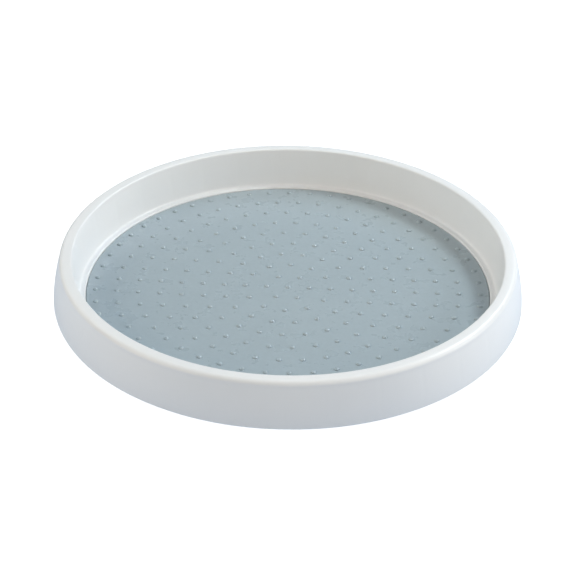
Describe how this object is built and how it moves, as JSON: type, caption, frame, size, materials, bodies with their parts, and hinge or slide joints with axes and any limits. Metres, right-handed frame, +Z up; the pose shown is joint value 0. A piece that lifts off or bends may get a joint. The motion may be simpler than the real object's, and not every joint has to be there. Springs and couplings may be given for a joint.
{
  "type": "lazy susan turntable",
  "caption": "Round kitchen turntable: a deep-rimmed plastic tray with a bumpy grip mat, spinning on a caged ball race over a low base with rubber feet.",
  "frame": {"origin": "on the table under the middle of the turntable, level with the bottom of the feet", "axes": "+Z up along the axis the tray turns about; +X and +Y are any two level directions, with a foot and a ball on +X"},
  "size_m": [0.28, 0.28, 0.0382],
  "materials": {
    "tray_plastic": "satin moulded",
    "grip_rubber": "matte, fine moulded texture",
    "base_plastic": "satin moulded",
    "cage_plastic": "satin moulded",
    "ball_steel": "polished bearing steel",
    "zinc_steel": "zinc plated",
    "foot_rubber": "matte"
  },
  "bodies": {
    "base": {"base": "base_plastic", "foot_01": "foot_rubber", "foot_02": "foot_rubber", "foot_03": "foot_rubber", "foot_04": "foot_rubber", "foot_05": "foot_rubber", "foot_06": "foot_rubber"},
    "tray": {"tray": "tray_plastic", "grip_mat": "grip_rubber", "pivot_washer": "zinc_steel", "pivot_screw": "zinc_steel"},
    "cage": {"ball_cage": "cage_plastic"},
    "ball_01": {"ball_01": "ball_steel"},
    "ball_02": {"ball_02": "ball_steel"},
    "ball_03": {"ball_03": "ball_steel"},
    "ball_04": {"ball_04": "ball_steel"},
    "ball_05": {"ball_05": "ball_steel"},
    "ball_06": {"ball_06": "ball_steel"},
    "ball_07": {"ball_07": "ball_steel"},
    "ball_08": {"ball_08": "ball_steel"},
    "ball_09": {"ball_09": "ball_steel"},
    "ball_10": {"ball_10": "ball_steel"},
    "ball_11": {"ball_11": "ball_steel"},
    "ball_12": {"ball_12": "ball_steel"},
    "ball_13": {"ball_13": "ball_steel"},
    "ball_14": {"ball_14": "ball_steel"},
    "ball_15": {"ball_15": "ball_steel"},
    "ball_16": {"ball_16": "ball_steel"},
    "ball_17": {"ball_17": "ball_steel"},
    "ball_18": {"ball_18": "ball_steel"},
    "ball_19": {"ball_19": "ball_steel"},
    "ball_20": {"ball_20": "ball_steel"},
    "ball_21": {"ball_21": "ball_steel"},
    "ball_22": {"ball_22": "ball_steel"},
    "ball_23": {"ball_23": "ball_steel"},
    "ball_24": {"ball_24": "ball_steel"}
  },
  "joints": [
    {"name": "tray_spin", "type": "hinge", "parent": "base", "child": "tray", "pos_m": [0, 0, 0], "axis": [0, 0, 1], "continuous": true},
    {"name": "cage_spin", "type": "hinge", "parent": "base", "child": "cage", "pos_m": [0, 0, 0], "axis": [0, 0, 1], "continuous": true},
    {"name": "ball_01_roll", "type": "hinge", "parent": "cage", "child": "ball_01", "pos_m": [0.074, 0, 0.00558], "axis": [1, 0, 0], "continuous": true},
    {"name": "ball_02_roll", "type": "hinge", "parent": "cage", "child": "ball_02", "pos_m": [0.07148, 0.01915, 0.00558], "axis": [0.9659, 0.2588, 0], "continuous": true},
    {"name": "ball_03_roll", "type": "hinge", "parent": "cage", "child": "ball_03", "pos_m": [0.06409, 0.037, 0.00558], "axis": [0.866, 0.5, 0], "continuous": true},
    {"name": "ball_04_roll", "type": "hinge", "parent": "cage", "child": "ball_04", "pos_m": [0.05233, 0.05233, 0.00558], "axis": [0.7071, 0.7071, 0], "continuous": true},
    {"name": "ball_05_roll", "type": "hinge", "parent": "cage", "child": "ball_05", "pos_m": [0.037, 0.06409, 0.00558], "axis": [0.5, 0.866, 0], "continuous": true},
    {"name": "ball_06_roll", "type": "hinge", "parent": "cage", "child": "ball_06", "pos_m": [0.01915, 0.07148, 0.00558], "axis": [0.2588, 0.9659, 0], "continuous": true},
    {"name": "ball_07_roll", "type": "hinge", "parent": "cage", "child": "ball_07", "pos_m": [0, 0.074, 0.00558], "axis": [0, 1, 0], "continuous": true},
    {"name": "ball_08_roll", "type": "hinge", "parent": "cage", "child": "ball_08", "pos_m": [-0.01915, 0.07148, 0.00558], "axis": [-0.2588, 0.9659, 0], "continuous": true},
    {"name": "ball_09_roll", "type": "hinge", "parent": "cage", "child": "ball_09", "pos_m": [-0.037, 0.06409, 0.00558], "axis": [-0.5, 0.866, 0], "continuous": true},
    {"name": "ball_10_roll", "type": "hinge", "parent": "cage", "child": "ball_10", "pos_m": [-0.05233, 0.05233, 0.00558], "axis": [-0.7071, 0.7071, 0], "continuous": true},
    {"name": "ball_11_roll", "type": "hinge", "parent": "cage", "child": "ball_11", "pos_m": [-0.06409, 0.037, 0.00558], "axis": [-0.866, 0.5, 0], "continuous": true},
    {"name": "ball_12_roll", "type": "hinge", "parent": "cage", "child": "ball_12", "pos_m": [-0.07148, 0.01915, 0.00558], "axis": [-0.9659, 0.2588, 0], "continuous": true},
    {"name": "ball_13_roll", "type": "hinge", "parent": "cage", "child": "ball_13", "pos_m": [-0.074, 0, 0.00558], "axis": [-1, 0, 0], "continuous": true},
    {"name": "ball_14_roll", "type": "hinge", "parent": "cage", "child": "ball_14", "pos_m": [-0.07148, -0.01915, 0.00558], "axis": [-0.9659, -0.2588, 0], "continuous": true},
    {"name": "ball_15_roll", "type": "hinge", "parent": "cage", "child": "ball_15", "pos_m": [-0.06409, -0.037, 0.00558], "axis": [-0.866, -0.5, 0], "continuous": true},
    {"name": "ball_16_roll", "type": "hinge", "parent": "cage", "child": "ball_16", "pos_m": [-0.05233, -0.05233, 0.00558], "axis": [-0.7071, -0.7071, 0], "continuous": true},
    {"name": "ball_17_roll", "type": "hinge", "parent": "cage", "child": "ball_17", "pos_m": [-0.037, -0.06409, 0.00558], "axis": [-0.5, -0.866, 0], "continuous": true},
    {"name": "ball_18_roll", "type": "hinge", "parent": "cage", "child": "ball_18", "pos_m": [-0.01915, -0.07148, 0.00558], "axis": [-0.2588, -0.9659, 0], "continuous": true},
    {"name": "ball_19_roll", "type": "hinge", "parent": "cage", "child": "ball_19", "pos_m": [0, -0.074, 0.00558], "axis": [0, -1, 0], "continuous": true},
    {"name": "ball_20_roll", "type": "hinge", "parent": "cage", "child": "ball_20", "pos_m": [0.01915, -0.07148, 0.00558], "axis": [0.2588, -0.9659, 0], "continuous": true},
    {"name": "ball_21_roll", "type": "hinge", "parent": "cage", "child": "ball_21", "pos_m": [0.037, -0.06409, 0.00558], "axis": [0.5, -0.866, 0], "continuous": true},
    {"name": "ball_22_roll", "type": "hinge", "parent": "cage", "child": "ball_22", "pos_m": [0.05233, -0.05233, 0.00558], "axis": [0.7071, -0.7071, 0], "continuous": true},
    {"name": "ball_23_roll", "type": "hinge", "parent": "cage", "child": "ball_23", "pos_m": [0.06409, -0.037, 0.00558], "axis": [0.866, -0.5, 0], "continuous": true},
    {"name": "ball_24_roll", "type": "hinge", "parent": "cage", "child": "ball_24", "pos_m": [0.07148, -0.01915, 0.00558], "axis": [0.9659, -0.2588, 0], "continuous": true}
  ],
  "couplings": [
    {"joint": "cage_spin", "follows": "tray_spin", "ratio": 0.5},
    {"joint": "ball_01_roll", "follows": "tray_spin", "ratio": -18.64},
    {"joint": "ball_02_roll", "follows": "tray_spin", "ratio": -18.64},
    {"joint": "ball_03_roll", "follows": "tray_spin", "ratio": -18.64},
    {"joint": "ball_04_roll", "follows": "tray_spin", "ratio": -18.64},
    {"joint": "ball_05_roll", "follows": "tray_spin", "ratio": -18.64},
    {"joint": "ball_06_roll", "follows": "tray_spin", "ratio": -18.64},
    {"joint": "ball_07_roll", "follows": "tray_spin", "ratio": -18.64},
    {"joint": "ball_08_roll", "follows": "tray_spin", "ratio": -18.64},
    {"joint": "ball_09_roll", "follows": "tray_spin", "ratio": -18.64},
    {"joint": "ball_10_roll", "follows": "tray_spin", "ratio": -18.64},
    {"joint": "ball_11_roll", "follows": "tray_spin", "ratio": -18.64},
    {"joint": "ball_12_roll", "follows": "tray_spin", "ratio": -18.64},
    {"joint": "ball_13_roll", "follows": "tray_spin", "ratio": -18.64},
    {"joint": "ball_14_roll", "follows": "tray_spin", "ratio": -18.64},
    {"joint": "ball_15_roll", "follows": "tray_spin", "ratio": -18.64},
    {"joint": "ball_16_roll", "follows": "tray_spin", "ratio": -18.64},
    {"joint": "ball_17_roll", "follows": "tray_spin", "ratio": -18.64},
    {"joint": "ball_18_roll", "follows": "tray_spin", "ratio": -18.64},
    {"joint": "ball_19_roll", "follows": "tray_spin", "ratio": -18.64},
    {"joint": "ball_20_roll", "follows": "tray_spin", "ratio": -18.64},
    {"joint": "ball_21_roll", "follows": "tray_spin", "ratio": -18.64},
    {"joint": "ball_22_roll", "follows": "tray_spin", "ratio": -18.64},
    {"joint": "ball_23_roll", "follows": "tray_spin", "ratio": -18.64},
    {"joint": "ball_24_roll", "follows": "tray_spin", "ratio": -18.64}
  ]
}
